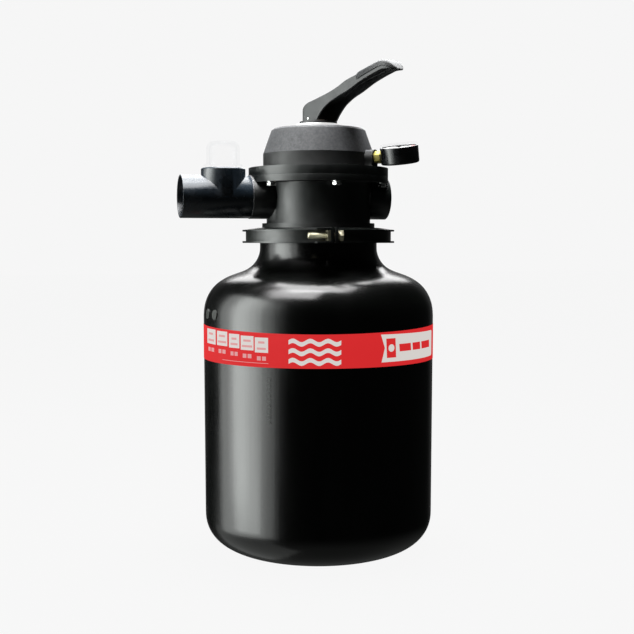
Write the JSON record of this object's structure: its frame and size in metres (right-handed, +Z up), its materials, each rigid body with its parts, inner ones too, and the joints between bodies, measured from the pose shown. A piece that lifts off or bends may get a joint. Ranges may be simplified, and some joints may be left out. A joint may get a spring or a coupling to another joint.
{
  "type": "sand filter tank",
  "caption": "Top-mount sand filter: round black pressure tank, clamped multiport valve with lift-and-turn lever, pressure gauge, and a sight-glass tee on the waste port.",
  "frame": {"origin": "centre of the tank's flat base, on the floor", "axes": "+Z up along the tank, +X out of the return port, +Y out of the pump port, -X out of the waste tee"},
  "size_m": [0.3331, 0.3014, 0.626],
  "materials": {
    "tank_black": "gloss",
    "band_red": "satin",
    "seal_black": "matte",
    "clamp_black": "satin",
    "zinc_yellow": "satin",
    "pipe_white": "satin",
    "sand": "matte",
    "valve_grey": "satin",
    "rotor_black": "satin",
    "stainless": "satin",
    "slip_white": "satin",
    "plate_white": "satin",
    "handle_grey": "satin",
    "tee_black": "gloss",
    "clear_plastic": "gloss",
    "gauge_black": "satin",
    "brass": "satin",
    "dial_white": "satin"
  },
  "bodies": {
    "tank": {"tank_shell": "tank_black", "label_band": "band_red", "neck_oring": "seal_black", "clamp_half_left": "clamp_black", "clamp_half_right": "clamp_black", "clamp_bolts": "zinc_yellow", "clamp_nuts": "zinc_yellow", "clamp_washers": "zinc_yellow", "riser_pipe": "pipe_white", "riser_oring": "seal_black", "lateral_hub": "pipe_white", "lateral_1": "pipe_white", "lateral_2": "pipe_white", "lateral_3": "pipe_white", "lateral_4": "pipe_white", "lateral_5": "pipe_white", "lateral_6": "pipe_white", "lateral_7": "pipe_white", "lateral_8": "pipe_white", "sand_bed": "sand", "top_diffuser": "pipe_white", "valve_body": "valve_grey", "spider_gasket": "seal_black", "lid": "valve_grey", "lid_oring": "seal_black", "lid_screws": "stainless", "lid_washers": "stainless", "lid_inserts": "brass", "position_plate": "plate_white", "sight_tee": "tee_black", "gauge_case": "gauge_black", "gauge_stem": "brass", "gauge_dial": "dial_white", "gauge_lens": "clear_plastic", "gauge_tube": "brass", "gauge_movement": "brass", "gauge_seal": "seal_black"},
    "selector": {"rotor_spring": "stainless", "upper_slip_washer": "slip_white", "handle_washer": "rotor_black"},
    "rotor": {"rotor": "rotor_black", "handle_pin": "stainless", "shaft_orings": "seal_black", "lower_slip_washer": "slip_white"},
    "handle": {"handle": "handle_grey"},
    "needle": {"gauge_needle": "gauge_black"},
    "sight_seal": {"sight_oring": "seal_black"},
    "sight_bowl": {"sight_glass": "clear_plastic"}
  },
  "joints": [
    {"name": "selector_turn", "type": "hinge", "parent": "tank", "child": "selector", "pos_m": [0, 0, 0.55], "axis": [0, 0, 1], "continuous": true},
    {"name": "rotor_lift", "type": "slide", "parent": "selector", "child": "rotor", "axis": [0, 0, 1], "range_m": [0, 0.0052], "deforming": ["rotor_spring"]},
    {"name": "handle_press", "type": "hinge", "parent": "rotor", "child": "handle", "pos_m": [0, 0, 0.5642], "axis": [0.866, 0.5, 0], "range_deg": [0, 18]},
    {"name": "needle_turn", "type": "hinge", "parent": "tank", "child": "needle", "pos_m": [0.08273, -0.08273, 0.5148], "axis": [-0.1386, -0.1119, 0.984], "range_deg": [-270, 0]},
    {"name": "sight_turn", "type": "hinge", "parent": "tank", "child": "sight_seal", "pos_m": [-0.1267, 0, 0.5], "axis": [0, 0, 1], "range_deg": [0, 720]},
    {"name": "sight_lift", "type": "slide", "parent": "sight_seal", "child": "sight_bowl", "axis": [0, 0, 1], "range_m": [0, 0.0061]}
  ],
  "couplings": [
    {"joint": "rotor_lift", "follows": "handle_press", "m_per_rad": 0.016},
    {"joint": "sight_lift", "follows": "sight_turn", "m_per_rad": 0.00047746}
  ]
}
